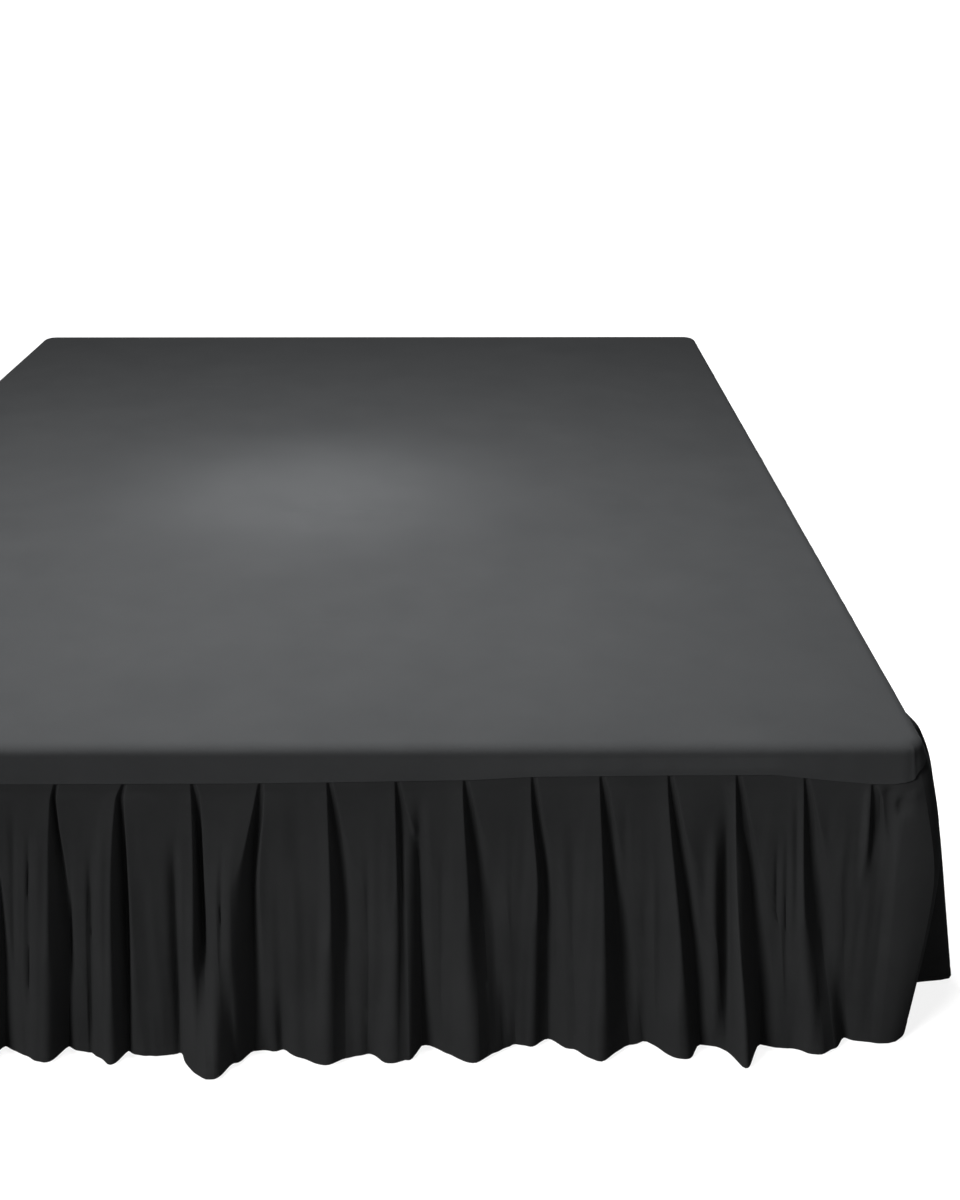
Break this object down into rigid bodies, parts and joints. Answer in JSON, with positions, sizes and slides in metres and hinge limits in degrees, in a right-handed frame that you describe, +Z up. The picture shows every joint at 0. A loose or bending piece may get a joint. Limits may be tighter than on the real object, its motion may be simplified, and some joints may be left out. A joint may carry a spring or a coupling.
{
  "type": "bed skirt on a mattress and bed base",
  "caption": "Pleated bed skirt with a smooth fitted deck and a turned-down band, falling to the floor round the foot and both sides of a bed, open at the head.",
  "frame": {"origin": "on the floor under the middle of the bed, at the centre of the plinth's underside", "axes": "+X to the right seen from the foot, +Y towards the head end, +Z up"},
  "size_m": [1.687, 2.0899, 0.403],
  "materials": {
    "deck_cloth": "smooth charcoal brushed microfibre with a soft sheen",
    "skirt_cloth": "the same charcoal microfibre, matt in its folds",
    "ticking": "plain off-white woven ticking with a fine stripe",
    "base_cloth": "plain dark grey upholstery cloth",
    "plinth_paint": "black painted wood, satin"
  },
  "bodies": {
    "root": {"deck": "deck_cloth", "skirt_foot": "skirt_cloth", "skirt_left": "skirt_cloth", "skirt_right": "skirt_cloth", "mattress": "ticking", "base": "base_cloth", "plinth": "plinth_paint"}
  },
  "joints": []
}
